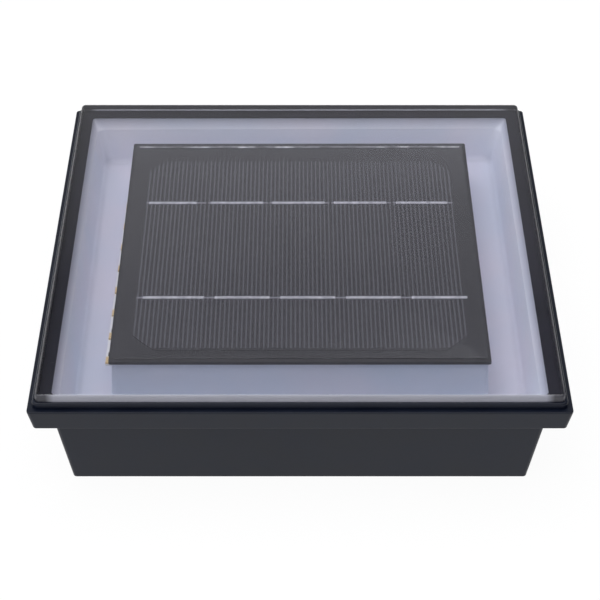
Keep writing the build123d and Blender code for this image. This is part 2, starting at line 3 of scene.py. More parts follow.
import bpy
from bpy.props import FloatProperty, FloatVectorProperty, IntProperty, PointerProperty
from mathutils import Euler, Matrix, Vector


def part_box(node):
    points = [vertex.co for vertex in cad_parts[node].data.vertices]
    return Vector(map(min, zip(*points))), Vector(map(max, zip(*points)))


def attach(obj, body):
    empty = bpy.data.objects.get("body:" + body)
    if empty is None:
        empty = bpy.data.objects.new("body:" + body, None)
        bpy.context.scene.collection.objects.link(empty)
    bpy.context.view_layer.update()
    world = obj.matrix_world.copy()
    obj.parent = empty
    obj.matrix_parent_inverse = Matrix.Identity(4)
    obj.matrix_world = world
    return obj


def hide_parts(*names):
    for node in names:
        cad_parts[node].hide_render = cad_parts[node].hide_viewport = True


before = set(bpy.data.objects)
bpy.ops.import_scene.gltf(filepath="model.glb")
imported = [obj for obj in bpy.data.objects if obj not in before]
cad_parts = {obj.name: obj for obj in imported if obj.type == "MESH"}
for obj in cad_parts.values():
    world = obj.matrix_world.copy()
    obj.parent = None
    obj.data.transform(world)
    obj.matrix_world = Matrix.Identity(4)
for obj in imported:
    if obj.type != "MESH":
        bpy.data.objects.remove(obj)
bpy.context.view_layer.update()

bl_info = {
    "name": "Recessed Solar Light",
    "version": (1, 0, 0),
    "blender": (4, 5, 0),
    "location": "View3D > Sidebar > Solar Light",
    "description": "Finishes for a square solar light that sinks into paving, and its studio",
    "category": "Object",
}

MM = 0.001

LENS_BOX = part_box("cover_lens")
FILM_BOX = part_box("panel_film")
CELL_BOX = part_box("solar_cell_3")
LENS_SIDE = LENS_BOX[1][0]
CELL_TOP = CELL_BOX[1][2]
CELLS_MIDDLE = (CELL_BOX[0][1] + CELL_BOX[1][1]) / 2

# Most of a noise texture's values lie between these.
NOISE_LOW, NOISE_HIGH = 0.3, 0.7

# A point this close to a face counts as lying on it.
TOUCH = 0.01 * MM
# A face counts as turned to a side when its normal leans this much to it.
FACING = 0.2

# The duller rolled sides of the cover, and the painted shade on its ends over the seal, in from its
# left and right.
LENS_ROLL_START, LENS_ROLL_FULL = 1.4 * MM, 0.7 * MM
LENS_PAINTED_SHADE_START, LENS_PAINTED_SHADE_FULL = 7 * MM, 4 * MM
# The cover's bottom edge is cut off by this much, where it lies this near the back.
LENS_CHAMFER = 0.6 * MM
LENS_BACK_BAND = 2.5 * MM

# How far from the middle the reflector's painted light and shade begin and end.
REFLECTOR_LIGHT_SHADE_START, REFLECTOR_LIGHT_SHADE_END = 70 * MM, 92 * MM

STRIPS = 5
# How near the cells' top a point counts as printed face, and not as sawn side.
CELL_SKIN = 0.02 * MM
# How far a finger's silver is full and where it has faded out, as parts of the fingers' pitch. Real
# fingers are about 0.1 mm wide: these are drawn about 0.6 mm wide, so that they show.
FINGER_CORE, FINGER_FADE = 0.1, 0.24

# The sealing film starts this far over the cells, clear of the ribbons, and is rounded a little.
FILM_LIFT = 0.16 * MM
FILM_CORNER = 1.0 * MM
FILM_EDGE = 0.18 * MM

# The bead of sealant on the film: half its length, its section, and the lumps in it.
BEAD_REACH = 69.4 * MM
BEAD_HALF_WIDTH = 0.45 * MM
BEAD_SETBACK = 2.2 * MM
BEAD_SUNK = 0.05 * MM
BEAD_HEIGHT = 0.22 * MM
BEAD_ROUNDING = 0.16 * MM
BEAD_CUTS = 110
BEAD_LUMP = 2.6 * MM
BEAD_LUMP_HEIGHT = 0.3 * MM

# The floor lies just under the light, so that the two don't share a plane.
FLOOR_DROP = 0.05 * MM
FLOOR_SIDES = 64
# The share of plain white in the floor as it is seen, and its strength: the rest keeps the shadow.
FLOOR_WHITE = 0.93
FLOOR_GLOW = 1.02

# How bright the sky is from the horizon, at 0, to straight above, at 1, and how it leans left.
SKY_LEVELS = (
    (0.0, 0.3), (0.4, 0.22), (0.54, 0.14), (0.6, 0.1), (0.67, 0.03),
    (0.73, 0.04), (0.82, 0.92), (0.94, 0.98), (1.0, 0.3),
)
SKY_LEAN = (-0.9, 0.0, 0.0)
SKY_STRENGTH = 2.3


def srgb(code):
    """Turns an sRGB hex colour into linear red, green, blue and alpha."""
    values = [int(code[i:i + 2], 16) / 255 for i in (1, 3, 5)]
    linear = [v / 12.92 if v <= 0.04045 else ((v + 0.055) / 1.055) ** 2.4 for v in values]
    return (*linear, 1.0)


def add(tree, kind, inputs=None, stops=(), **settings):
    """Adds a node with its settings and a ramp's stops, and sets or links its inputs."""
    node = tree.nodes.new(kind)
    for name, value in settings.items():
        setattr(node, name, value)
    for key, value in (inputs or {}).items():
        if isinstance(value, bpy.types.NodeSocket):
            tree.links.new(value, node.inputs[key])
        else:
            node.inputs[key].default_value = value
    if stops:
        marks = node.color_ramp.elements
        while len(marks) < len(stops):
            marks.new(0.5)
        for mark, (position, colour) in zip(marks, stops):
            mark.position = position
        for mark, (position, colour) in zip(marks, stops):
            mark.color = colour
    return node


def new_material(name):
    """An empty node material and its tree."""
    material = bpy.data.materials.new(name)
    material.use_nodes = True
    material.node_tree.nodes.clear()
    return material, material.node_tree


def dress(names, material):
    """Gives CAD nodes a material, in the slots that they already have."""
    for name in names:
        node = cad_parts[name]
        if not node.material_slots:
            node.data.materials.append(material)
        for slot in node.material_slots:
            slot.material = material


def moulded_plastic(name, tones, grain_mm, relief, roughness, specular=0.5):
    """A plastic, rubber, resin or ceramic: its tone and gloss drift slowly over a fine grain.

    The grain that a tool leaves is finer than 0.1 mm. It is drawn as coarse as it needs to show.
    """
    material, tree = new_material(name)
    at = add(tree, "ShaderNodeTexCoord").outputs["Object"]
    drift = add(tree, "ShaderNodeTexNoise", {"Vector": at, "Scale": 1 / (14 * MM), "Detail": 3.0})
    grain = add(tree, "ShaderNodeTexNoise", {
        "Vector": at, "Scale": 1 / (grain_mm * MM), "Detail": 2.0,
    })
    colour = add(tree, "ShaderNodeValToRGB", {
        "Fac": drift.outputs["Fac"],
    }, stops=[(NOISE_LOW, tones[0]), (NOISE_HIGH, tones[1])])
    gloss = add(tree, "ShaderNodeMapRange", {
        "Value": drift.outputs["Fac"], "From Min": NOISE_LOW, "From Max": NOISE_HIGH,
        "To Min": roughness[0], "To Max": roughness[1],
    })
    bump = add(tree, "ShaderNodeBump", {
        "Height": grain.outputs["Fac"], "Strength": relief, "Distance": 0.05 * MM,
    })
    surface = add(tree, "ShaderNodeBsdfPrincipled", {
        "Base Color": colour.outputs["Color"],
        "Roughness": gloss.outputs["Result"],
        "Specular IOR Level": specular,
        "IOR": 1.53,
        "Normal": bump.outputs["Normal"],
    })
    add(tree, "ShaderNodeOutputMaterial", {"Surface": surface.outputs["BSDF"]})
    return material


def plated_metal(name, tones, roughness, grain_mm):
    """A plated or drawn metal: its tone and shine vary in grains, drawn coarse enough to show."""
    material, tree = new_material(name)
    at = add(tree, "ShaderNodeTexCoord").outputs["Object"]
    grain = add(tree, "ShaderNodeTexNoise", {
        "Vector": at, "Scale": 1 / (grain_mm * MM), "Detail": 2.0,
    })
    colour = add(tree, "ShaderNodeValToRGB", {
        "Fac": grain.outputs["Fac"],
    }, stops=[(NOISE_LOW, tones[0]), (NOISE_HIGH, tones[1])])
    gloss = add(tree, "ShaderNodeMapRange", {
        "Value": grain.outputs["Fac"], "From Min": NOISE_LOW, "From Max": NOISE_HIGH,
        "To Min": roughness[0], "To Max": roughness[1],
    })
    surface = add(tree, "ShaderNodeBsdfPrincipled", {
        "Base Color": colour.outputs["Color"],
        "Metallic": 1.0,
        "Roughness": gloss.outputs["Result"],
    })
    add(tree, "ShaderNodeOutputMaterial", {"Surface": surface.outputs["BSDF"]})
    return material


def open_to_light(tree, glass):
    """Ends a clear material: shadow and bounce light pass straight through to what lies behind."""
    path = add(tree, "ShaderNodeLightPath")
    either = add(tree, "ShaderNodeMath", {
        0: path.outputs["Is Shadow Ray"], 1: path.outputs["Is Diffuse Ray"],
    }, operation="MAXIMUM")
    clear = add(tree, "ShaderNodeBsdfTransparent", {"Color": srgb("#F7F7F8")})
    mixed = add(tree, "ShaderNodeMixShader", {
        0: either.outputs[0], 1: glass.outputs["BSDF"], 2: clear.outputs["BSDF"],
    })
    add(tree, "ShaderNodeOutputMaterial", {"Surface": mixed.outputs[0]})


def distance_out(tree, at, axis):
    """How far a point is from the light's middle along an axis."""
    axes = add(tree, "ShaderNodeSeparateXYZ", {"Vector": at})
    return add(tree, "ShaderNodeMath", {0: axes.outputs[axis]}, operation="ABSOLUTE").outputs[0]


def polycarbonate_clear():
    """Polycarbonate from a polished mould.

    It is water-clear and glassy with a faint cool cast, and its mirror is just soft enough to look
    moulded. The rolled left and right edges are duller, so they show as soft grey bands.
    """
    material, tree = new_material("polycarbonate_clear_moulded")
    at = add(tree, "ShaderNodeTexCoord").outputs["Object"]
    waves = add(tree, "ShaderNodeTexNoise", {"Vector": at, "Scale": 1 / (40 * MM), "Detail": 1.0})
    soft = add(tree, "ShaderNodeMapRange", {
        "Value": waves.outputs["Fac"], "From Min": NOISE_LOW, "From Max": NOISE_HIGH,
        "To Min": 0.0, "To Max": 0.03,
    })
    rolled = add(tree, "ShaderNodeMapRange", {
        "Value": distance_out(tree, at, "X"),
        "From Min": LENS_SIDE - LENS_ROLL_START, "From Max": LENS_SIDE - LENS_ROLL_FULL,
        "To Min": 0.0, "To Max": 0.3,
    })
    roughness = add(tree, "ShaderNodeMath", {
        0: soft.outputs["Result"], 1: rolled.outputs["Result"],
    }, operation="MAXIMUM")
    glass = add(tree, "ShaderNodeBsdfPrincipled", {
        "Base Color": srgb("#F7F8FC"),
        "Roughness": roughness.outputs[0],
        "IOR": 1.585,
        "Transmission Weight": 1.0,
    })
    open_to_light(tree, glass)
    return material


def polycarbonate_satin():
    """The same polycarbonate where it was trimmed and left satin, on the front and under the back.

    It is a milky, cool grey in front of the white reflector. Both its ends are darkened with painted
    shade, standing for the black seal that lies behind them.
    """
    material, tree = new_material("polycarbonate_satin_painted_shade")
    at = add(tree, "ShaderNodeTexCoord").outputs["Object"]
    cloud = add(tree, "ShaderNodeTexNoise", {"Vector": at, "Scale": 1 / (25 * MM), "Detail": 2.0})
    rough = add(tree, "ShaderNodeMapRange", {
        "Value": cloud.outputs["Fac"], "From Min": NOISE_LOW, "From Max": NOISE_HIGH,
        "To Min": 0.4, "To Max": 0.5,
    })
    end = add(tree, "ShaderNodeMapRange", {
        "Value": distance_out(tree, at, "X"),
        "From Min": LENS_SIDE - LENS_PAINTED_SHADE_START, "From Max": LENS_SIDE - LENS_PAINTED_SHADE_FULL,
        "To Min": 0.0, "To Max": 1.0,
    })
    milky = add(tree, "ShaderNodeValToRGB", {
        "Fac": cloud.outputs["Fac"],
    }, stops=[(NOISE_LOW, srgb("#C9CAD9")), (NOISE_HIGH, srgb("#D1D2E0"))])
    # Painted shade: the colour turns dark grey towards both ends, over the black seal.
    colour = add(tree, "ShaderNodeMix", {
        "Factor": end.outputs["Result"], 6: milky.outputs["Color"], 7: srgb("#4A4A54"),
    }, data_type="RGBA")
    satin = add(tree, "ShaderNodeBsdfPrincipled", {
        "Base Color": colour.outputs[2],
        "Roughness": rough.outputs["Result"],
        "IOR": 1.585,
        "Transmission Weight": 0.5,
    })
    open_to_light(tree, satin)
    return material


def reflector_white():
    """White polystyrene from a satin mould.

    It is pale and faintly lavender. Its colour is painted light and shade by distance from the
    middle: a painted highlight high on its walls, painted shade at their foot, and the darkest
    painted shade at the rim.
    """
    material, tree = new_material("polystyrene_white_painted_light_shade")
    at = add(tree, "ShaderNodeTexCoord").outputs["Object"]
    out = add(tree, "ShaderNodeMath", {
        0: distance_out(tree, at, "X"), 1: distance_out(tree, at, "Y"),
    }, operation="MAXIMUM")
    reach = add(tree, "ShaderNodeMapRange", {
        "Value": out.outputs[0], "From Min": REFLECTOR_LIGHT_SHADE_START, "From Max": REFLECTOR_LIGHT_SHADE_END,
        "To Min": 0.0, "To Max": 1.0,
    })
    # Painted light and shade by distance from the middle: a painted highlight high on the walls,
    # painted shade at their foot and darker painted shade at the rim.
    shade = add(tree, "ShaderNodeValToRGB", {"Fac": reach.outputs["Result"]}, stops=[
        (0.07, srgb("#D6DEE6")), (0.12, srgb("#DAD9E2")), (0.45, srgb("#D8D8E1")),
        (0.66, srgb("#D6D7E0")), (0.73, srgb("#ECEDF4")), (0.86, srgb("#F6F7FC")),
        (0.92, srgb("#D8D9E2")), (0.98, srgb("#AEB0BB")),
    ])
    cloud = add(tree, "ShaderNodeTexNoise", {"Vector": at, "Scale": 1 / (30 * MM), "Detail": 2.0})
    tint = add(tree, "ShaderNodeValToRGB", {
        "Fac": cloud.outputs["Fac"],
    }, stops=[(0.35, srgb("#F6F9FF")), (0.65, srgb("#FFFBFF"))])
    colour = add(tree, "ShaderNodeMix", {
        "Factor": 1.0, 6: shade.outputs["Color"], 7: tint.outputs["Color"],
    }, data_type="RGBA", blend_type="MULTIPLY")
    # The mould's satin grain is finer than this, and is drawn as coarse as it needs to show.
    grain = add(tree, "ShaderNodeTexNoise", {"Vector": at, "Scale": 1 / (0.5 * MM), "Detail": 2.0})
    bump = add(tree, "ShaderNodeBump", {
        "Height": grain.outputs["Fac"], "Strength": 0.1, "Distance": 0.05 * MM,
    })
    surface = add(tree, "ShaderNodeBsdfPrincipled", {
        "Base Color": colour.outputs[2],
        "Roughness": 0.46,
        "IOR": 1.55,
        "Normal": bump.outputs["Normal"],
    })
    add(tree, "ShaderNodeOutputMaterial", {"Surface": surface.outputs["BSDF"]})
    return material


def cell_silicon(settings):
    """Single-crystal silicon, sawn, coated against reflection and screen-printed with silver.

    It is near black with a faint violet cast, under fine upright grey lines and a paler bar where
    each ribbon lies. Its sawn sides are painted lighter, a painted light that hides the shade at the
    cells' edges.
    """
    material, tree = new_material("silicon_printed_painted_side_light")
    at = add(tree, "ShaderNodeTexCoord").outputs["Object"]
    axes = add(tree, "ShaderNodeSeparateXYZ", {"Vector": at})
    # Each strip has a whole number of fingers, so one row of them runs over all the strips.
    along = add(tree, "ShaderNodeMath", {
        0: axes.outputs["X"], 1: STRIPS / 2 * settings.strip_pitch,
    }, operation="ADD")
    fingers = add(tree, "ShaderNodeMath", {
        0: along.outputs[0], 1: settings.strip_pitch / settings.fingers,
    }, operation="DIVIDE")
    part = add(tree, "ShaderNodeMath", {0: fingers.outputs[0]}, operation="FRACT")
    centred = add(tree, "ShaderNodeMath", {0: part.outputs[0], 1: 0.5}, operation="SUBTRACT")
    away = add(tree, "ShaderNodeMath", {0: centred.outputs[0]}, operation="ABSOLUTE")
    line = add(tree, "ShaderNodeMapRange", {
        "Value": away.outputs[0], "From Min": FINGER_CORE, "From Max": FINGER_FADE,
        "To Min": 1.0, "To Max": 0.0,
    })
    from_middle = add(tree, "ShaderNodeMath", {
        0: axes.outputs["Y"], 1: CELLS_MIDDLE,
    }, operation="SUBTRACT")
    across = add(tree, "ShaderNodeMath", {0: from_middle.outputs[0]}, operation="ABSOLUTE")
    inside = add(tree, "ShaderNodeMath", {
        0: across.outputs[0], 1: settings.finger_reach,
    }, operation="LESS_THAN")
    printed = add(tree, "ShaderNodeMath", {
        0: line.outputs["Result"], 1: inside.outputs[0],
    }, operation="MULTIPLY")
    from_bar = add(tree, "ShaderNodeMath", {
        0: across.outputs[0], 1: settings.bar_distance,
    }, operation="SUBTRACT")
    bar_away = add(tree, "ShaderNodeMath", {0: from_bar.outputs[0]}, operation="ABSOLUTE")
    bar = add(tree, "ShaderNodeMath", {
        0: bar_away.outputs[0], 1: settings.bar_width / 2,
    }, operation="LESS_THAN")
    # Painted light: the sawn sides below the printed face are coloured lighter, against the shade
    # along the cells' edges.
    side = add(tree, "ShaderNodeMath", {
        0: axes.outputs["Z"], 1: CELL_TOP - CELL_SKIN,
    }, operation="LESS_THAN")
    cloud = add(tree, "ShaderNodeTexNoise", {"Vector": at, "Scale": 1 / (30 * MM), "Detail": 3.0})
    coated = add(tree, "ShaderNodeValToRGB", {
        "Fac": cloud.outputs["Fac"],
    }, stops=[(NOISE_LOW, srgb("#2E2D32")), (NOISE_HIGH, srgb("#323136"))])
    colour = coated.outputs["Color"]
    for share, over in (
        (printed, srgb("#69686E")),
        (bar, srgb("#96959C")),
        (side, srgb("#5E5D63")),
    ):
        colour = add(tree, "ShaderNodeMix", {
            "Factor": share.outputs[0], 6: colour, 7: over,
        }, data_type="RGBA").outputs[2]
    surface = add(tree, "ShaderNodeBsdfPrincipled", {
        "Base Color": colour, "Roughness": 0.4, "IOR": 1.5,
    })
    add(tree, "ShaderNodeOutputMaterial", {"Surface": surface.outputs["BSDF"]})
    return material


def tinned_ribbon():
    """Flat copper ribbon dipped in solder and soldered down.

    It is the brightest thing on the panel: silvery and soft, with slow lumps where it was joined.
    """
    material, tree = new_material("tinned_copper_soldered")
    at = add(tree, "ShaderNodeTexCoord").outputs["Object"]
    lumps = add(tree, "ShaderNodeTexNoise", {"Vector": at, "Scale": 1 / (2.2 * MM), "Detail": 2.0})
    colour = add(tree, "ShaderNodeValToRGB", {
        "Fac": lumps.outputs["Fac"],
    }, stops=[(0.35, srgb("#C9CACF")), (0.65, srgb("#F6F6F9"))])
    bump = add(tree, "ShaderNodeBump", {
        "Height": lumps.outputs["Fac"], "Strength": 0.6, "Distance": 0.1 * MM,
    })
    surface = add(tree, "ShaderNodeBsdfPrincipled", {
        "Base Color": colour.outputs["Color"],
        "Metallic": 0.6,
        "Roughness": 0.6,
        "Normal": bump.outputs["Normal"],
    })
    add(tree, "ShaderNodeOutputMaterial", {"Surface": surface.outputs["BSDF"]})
    return material


def sealing_film():
    """Clear epoxy poured over the cells.

    It is clear and softly shiny, with a faint orange peel that blurs what it reflects.
    """
    material, tree = new_material("epoxy_resin_poured")
    at = add(tree, "ShaderNodeTexCoord").outputs["Object"]
    peel = add(tree, "ShaderNodeTexNoise", {"Vector": at, "Scale": 1 / (1.6 * MM), "Detail": 1.0})
    bump = add(tree, "ShaderNodeBump", {
        "Height": peel.outputs["Fac"], "Strength": 0.05, "Distance": 0.05 * MM,
    })
    film = add(tree, "ShaderNodeBsdfPrincipled", {
        "Base Color": srgb("#F2F1F4"),
        "Roughness": 0.12,
        "IOR": 1.4,
        "Transmission Weight": 1.0,
        "Normal": bump.outputs["Normal"],
    })
    open_to_light(tree, film)
    return material


def sealant_bead():
    """The same epoxy, squeezed out along the film's back edge.

    It is a lumpy grey line with broken white glints, which are a painted highlight in its colour.
    """
    material, tree = new_material("epoxy_resin_painted_glints")
    at = add(tree, "ShaderNodeTexCoord").outputs["Object"]
    lumps = add(tree, "ShaderNodeTexNoise", {"Vector": at, "Scale": 1 / (7 * MM), "Detail": 3.0})
    # Painted highlight: the noise turns the grey to near white in broken spots.
    colour = add(tree, "ShaderNodeValToRGB", {
        "Fac": lumps.outputs["Fac"],
    }, stops=[(0.3, srgb("#6E6D72")), (0.5, srgb("#9C9BA2")), (0.68, srgb("#F4F3F8"))])
    surface = add(tree, "ShaderNodeBsdfPrincipled", {
        "Base Color": colour.outputs["Color"], "Roughness": 0.35, "IOR": 1.5,
    })
    add(tree, "ShaderNodeOutputMaterial", {"Surface": surface.outputs["BSDF"]})
    return material


def select_none():
    """Leaves object mode with nothing selected."""
    if bpy.context.object and bpy.context.object.mode != "OBJECT":
        bpy.ops.object.mode_set(mode="OBJECT")
    bpy.ops.object.select_all(action="DESELECT")


def start_block(name, low, high):
    """A block between two corners, ready to be shaped, with its place in its mesh."""
    select_none()
    centre = [(a + b) / 2 for a, b in zip(low, high)]
    bpy.ops.mesh.primitive_cube_add(size=1, location=centre)
    piece = bpy.context.object
    piece.name = piece.data.name = name
    piece.scale = [b - a for a, b in zip(low, high)]
    bpy.ops.object.transform_apply(location=True, rotation=True, scale=True)
    return piece


def select_edges(piece, wanted):
    """Goes into edit mode with only those edges selected whose two ends pass a test."""
    bpy.ops.object.mode_set(mode="EDIT")
    bpy.ops.mesh.select_all(action="DESELECT")
    bpy.ops.mesh.select_mode(type="EDGE")
    bpy.ops.object.mode_set(mode="OBJECT")
    points = piece.data.vertices
    for edge in piece.data.edges:
        a, b = (points[i].co for i in edge.vertices)
        edge.select = wanted(a, b)
    bpy.ops.object.mode_set(mode="EDIT")


def bevel_edges(piece, wanted, radius, segments):
    """Rounds the edges that pass a test, or cuts them off flat with one segment."""
    select_edges(piece, wanted)
    bpy.ops.mesh.bevel(offset=radius, offset_type="OFFSET", segments=segments, profile=0.5)
    bpy.ops.object.mode_set(mode="OBJECT")


class HousingSettings(bpy.types.PropertyGroup):
    shade: FloatVectorProperty(
        name="Shade", description="The darker tone of the black tub",
        default=srgb("#080F1F"), size=4, min=0.0, max=1.0, subtype="COLOR",
    )
    sheen: FloatVectorProperty(
        name="Sheen", description="The lighter tone of the black tub",
        default=srgb("#0C1424"), size=4, min=0.0, max=1.0, subtype="COLOR",
    )


class LensSettings(bpy.types.PropertyGroup):
    corner: FloatProperty(
        name="Corner", description="Radius of the four upright corners",
        default=1.8 * MM, unit="LENGTH",
    )
    edge: FloatProperty(
        name="Rolled edge", description="Radius of the rolled top edge",
        default=1.0 * MM, unit="LENGTH",
    )


class PanelSettings(bpy.types.PropertyGroup):
    strip_pitch: FloatProperty(
        name="Strip pitch", description="Width of one cell strip and the gap beside it",
        default=25.7 * MM, unit="LENGTH",
    )
    fingers: IntProperty(
        name="Fingers", description="Printed fingers in each strip", default=15, min=1,
    )
    finger_reach: FloatProperty(
        name="Finger reach", description="How far the fingers run from the cells' middle",
        default=61.2 * MM, unit="LENGTH",
    )
    bar_distance: FloatProperty(
        name="Bar distance", description="How far each printed bar is from the cells' middle",
        default=31.2 * MM, unit="LENGTH",
    )
    bar_width: FloatProperty(
        name="Bar width", description="Width of the printed bars under the ribbons",
        default=1.0 * MM, unit="LENGTH",
    )


class LampsSettings(bpy.types.PropertyGroup):
    gel: FloatVectorProperty(
        name="Gel", description="The deeper tone of the yellow lamps",
        default=srgb("#E3C592"), size=4, min=0.0, max=1.0, subtype="COLOR",
    )
    gel_pale: FloatVectorProperty(
        name="Pale gel", description="The paler tone of the yellow lamps",
        default=srgb("#EBD3A6"), size=4, min=0.0, max=1.0, subtype="COLOR",
    )


class StageSettings(bpy.types.PropertyGroup):
    pitch: FloatProperty(
        name="Pitch", description="How far the camera looks down",
        default=math.radians(39.095), subtype="ANGLE",
    )
    yaw: FloatProperty(
        name="Yaw", description="How far the camera turns right",
        default=math.radians(0.0745), subtype="ANGLE",
    )
    roll: FloatProperty(
        name="Roll", description="How far the camera leans",
        default=math.radians(0.0516), subtype="ANGLE",
    )
    lens: FloatProperty(
        name="Lens", description="Focal length", default=110.84, unit="CAMERA",
    )
    eye: FloatVectorProperty(
        name="Camera", description="Where the camera stands",
        default=(-0.000686, -0.597146, 0.502107), subtype="TRANSLATION",
    )
    floor: FloatProperty(
        name="Floor", description="Radius of the floor", default=3.0, unit="LENGTH",
    )


class HousingOperator(bpy.types.Operator):
    """Finishes the black tub, its battery door, the button's collar and the seals"""

    bl_idname = "solar_light.housing"
    bl_label = "Housing"

    def execute(self, context):
        settings = context.scene.solar_light_housing
        # Black ABS from a spark-eroded mould: a blue-black with a fine matt grain, which the floor
        # and the sky lift to charcoal.
        black = moulded_plastic(
            "abs_black_moulded", (settings.shade, settings.sheen),
            grain_mm=0.35, relief=0.25, roughness=(0.34, 0.42), specular=0.25,
        )
        dress(["housing_tub", "battery_door", "button_collar"], black)
        # Moulded rubber: dark grey, soft and almost without shine.
        rubber = moulded_plastic(
            "epdm_rubber_moulded", (srgb("#2A2A33"), srgb("#302F3A")),
            grain_mm=0.6, relief=0.4, roughness=(0.7, 0.85), specular=0.3,
        )
        dress(["lens_gasket", "battery_door_seal", "stem_seal"], rubber)
        return {"FINISHED"}


class LensOperator(bpy.types.Operator):
    """Models the thick clear cover plate with its rolled edge"""

    bl_idname = "solar_light.lens"
    bl_label = "Cover lens"

    def execute(self, context):
        settings = context.scene.solar_light_lens
        low, high = LENS_BOX
        lens = start_block("cover_lens_plate", low, high)
        bevel_edges(lens, lambda a, b: abs(a.z - b.z) > 1 * MM, settings.corner, segments=8)
        top = high[2] - TOUCH
        bevel_edges(lens, lambda a, b: a.z > top and b.z > top, settings.edge, segments=6)
        base = low[2] + TOUCH
        back = high[1] - LENS_BACK_BAND
        bevel_edges(
            lens, lambda a, b: max(a.z, b.z) < base and min(a.y, b.y) > back,
            LENS_CHAMFER, segments=1,
        )
        bpy.ops.object.shade_smooth_by_angle(angle=math.radians(40))
        lens.data.materials.append(polycarbonate_clear())
        lens.data.materials.append(polycarbonate_satin())
        for face in lens.data.polygons:
            front = face.normal.y < -FACING
            under_back = face.normal.z < -FACING and face.normal.y > FACING
            if front or under_back:
                face.material_index = 1
        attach(lens, "light")
        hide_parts("cover_lens")
        return {"FINISHED"}


class ReflectorOperator(bpy.types.Operator):
    """Finishes the white reflector tray"""

    bl_idname = "solar_light.reflector"
    bl_label = "Reflector"

    def execute(self, context):
        dress(["reflector_tray"], reflector_white())
        return {"FINISHED"}


class PanelOperator(bpy.types.Operator):
    """Finishes the cells, ribbons and board, and lays the sealing film and its bead"""

    bl_idname = "solar_light.panel"
    bl_label = "Solar panel"

    def execute(self, context):
        silicon = cell_silicon(context.scene.solar_light_panel)
        dress([f"solar_cell_{n}" for n in range(1, STRIPS + 1)], silicon)
        dress(["bus_ribbons_front", "bus_ribbons_back"], tinned_ribbon())
        # Glass fibre under cured black solder mask: dark charcoal with a low, even sheen.
        board = moulded_plastic(
            "fibreglass_black_masked", (srgb("#2E2D32"), srgb("#323136")),
            grain_mm=1.2, relief=0.15, roughness=(0.35, 0.45),
        )
        dress(["panel_backboard"], board)
        # Cut foam tape: mid grey, matt and pitted.
        tape = moulded_plastic(
            "foam_grey_cut", (srgb("#5A5A5E"), srgb("#6A6A6E")),
            grain_mm=0.8, relief=0.8, roughness=(0.85, 0.95),
        )
        dress(["panel_tape"], tape)
        self.lay_film()
        self.lay_bead()
        return {"FINISHED"}

    def lay_film(self):
        """A thin clear sheet over the cells and ribbons, rounded at its corners and top edge."""
        low, high = FILM_BOX
        film = start_block("panel_film_sheet", (low[0], low[1], CELL_TOP + FILM_LIFT), high)
        bevel_edges(film, lambda a, b: abs(a.z - b.z) > 0.1 * MM, FILM_CORNER, segments=4)
        top = high[2] - TOUCH
        bevel_edges(film, lambda a, b: a.z > top and b.z > top, FILM_EDGE, segments=3)
        bpy.ops.object.shade_smooth_by_angle(angle=math.radians(40))
        film.data.materials.append(sealing_film())
        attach(film, "light")
        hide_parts("panel_film")

    def lay_bead(self):
        """A lumpy bead of sealant just inside the film's back edge."""
        back = FILM_BOX[1][1] - BEAD_SETBACK
        film_top = FILM_BOX[1][2]
        bead = start_block(
            "panel_back_bead",
            (-BEAD_REACH, back - BEAD_HALF_WIDTH, film_top - BEAD_SUNK),
            (BEAD_REACH, back + BEAD_HALF_WIDTH, film_top + BEAD_HEIGHT),
        )
        select_edges(bead, lambda a, b: abs(a.x - b.x) > 1 * MM)
        bpy.ops.mesh.subdivide(number_cuts=BEAD_CUTS)
        bpy.ops.object.mode_set(mode="OBJECT")
        top = film_top + BEAD_HEIGHT - TOUCH
        bevel_edges(
            bead, lambda a, b: min(a.z, b.z) > top and abs(a.y - b.y) < 0.1 * MM,
            BEAD_ROUNDING, segments=3,
        )
        clouds = bpy.data.textures.new("bead_lumps", "CLOUDS")
        clouds.noise_scale = BEAD_LUMP
        lumps = bead.modifiers.new("lumps", "DISPLACE")
        lumps.texture = clouds
        lumps.texture_coords = "LOCAL"
        lumps.strength = BEAD_LUMP_HEIGHT
        lumps.mid_level = 0.5
        bpy.ops.object.modifier_apply(modifier=lumps.name)
        bpy.ops.object.shade_smooth_by_angle(angle=math.radians(50))
        bead.data.materials.append(sealant_bead())
        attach(bead, "light")


class LampsOperator(bpy.types.Operator):
    """Finishes the two light boards with their lamps and resistors"""

    bl_idname = "solar_light.lamps"
    bl_label = "Lamps"

    def execute(self, context):
        settings = context.scene.solar_light_lamps
        # Cured white solder mask: a clean cool white with a glossy skin.
        mask = moulded_plastic(
            "solder_mask_white_cured", (srgb("#ECEBEE"), srgb("#F2F1F4")),
            grain_mm=1.0, relief=0.1, roughness=(0.3, 0.4),
        )
        dress(["led_board_left", "led_board_right"], mask)
        # Phosphor in dosed silicone gel: a soft, pale peach yellow, wet-looking from the side.
        gel = moulded_plastic(
            "phosphor_silicone_dosed", (settings.gel, settings.gel_pale),
            grain_mm=0.4, relief=0.2, roughness=(0.3, 0.4),
        )
        dress(["leds_left", "leds_right"], gel)
        # Fired resistor glass: brown-black with a slight shine.
        chips = moulded_plastic(
            "resistor_black_fired", (srgb("#26241F"), srgb("#35322C")),
            grain_mm=0.3, relief=0.2, roughness=(0.4, 0.5),
        )
        dress(["led_resistors_left", "led_resistors_right"], chips)
        return {"FINISHED"}


